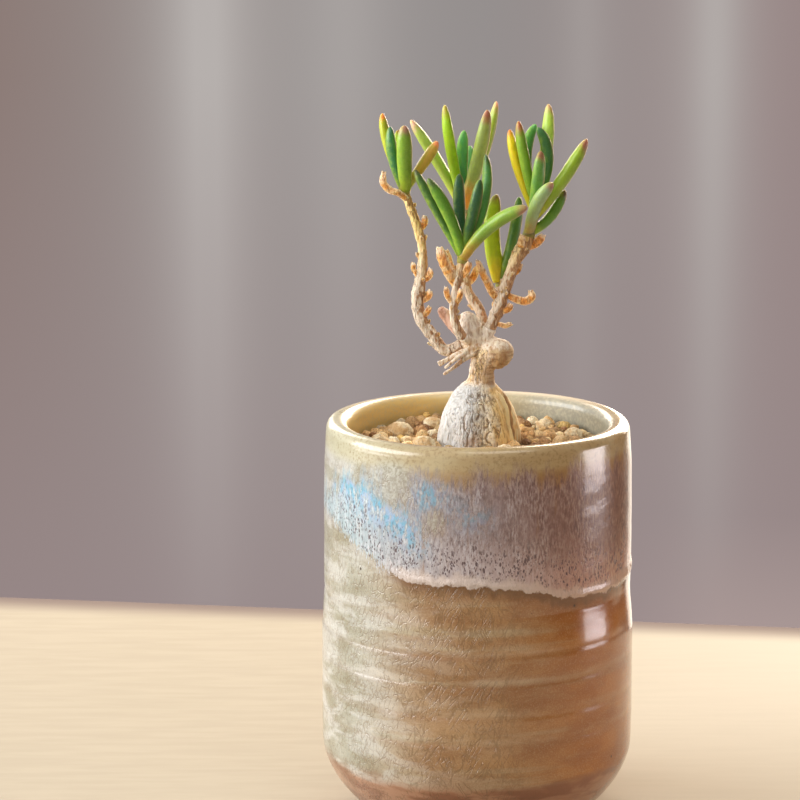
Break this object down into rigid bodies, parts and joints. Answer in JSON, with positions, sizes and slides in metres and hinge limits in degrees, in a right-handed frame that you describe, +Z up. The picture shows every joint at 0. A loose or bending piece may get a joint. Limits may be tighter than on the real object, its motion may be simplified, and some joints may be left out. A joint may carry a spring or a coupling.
{
  "type": "potted caudex succulent",
  "caption": "Small caudex succulent with finger-shaped leaves on woody stems, in a tall glazed stoneware cup pot with gritty soil.",
  "frame": {"origin": "middle of the pot's foot ring, on the surface the pot stands on", "axes": "+Z up along the pot's axis; +X to the right and +Y away from the camera, as in the picture"},
  "size_m": [0.0744, 0.0744, 0.1699],
  "materials": {
    "stoneware": "gloss",
    "screen": "matte",
    "soil": "matte",
    "pumice": "matte",
    "caudex": "matte",
    "bark": "matte",
    "leaf": "satin"
  },
  "bodies": {
    "root": {"pot": "stoneware", "drain_screen": "screen", "soil": "soil", "pumice_01": "pumice", "pumice_02": "pumice", "pumice_03": "pumice", "pumice_04": "pumice", "pumice_05": "pumice", "pumice_06": "pumice", "pumice_07": "pumice", "pumice_08": "pumice", "pumice_09": "pumice", "pumice_10": "pumice", "pumice_11": "pumice", "pumice_12": "pumice", "pumice_13": "pumice", "pumice_14": "pumice", "caudex": "caudex", "left_stem": "bark", "front_stem": "bark", "back_stem": "bark", "right_stem": "bark", "left_leaves": "leaf", "front_leaves": "leaf", "back_leaves": "leaf", "right_leaves": "leaf", "side_leaves": "leaf"}
  },
  "joints": []
}
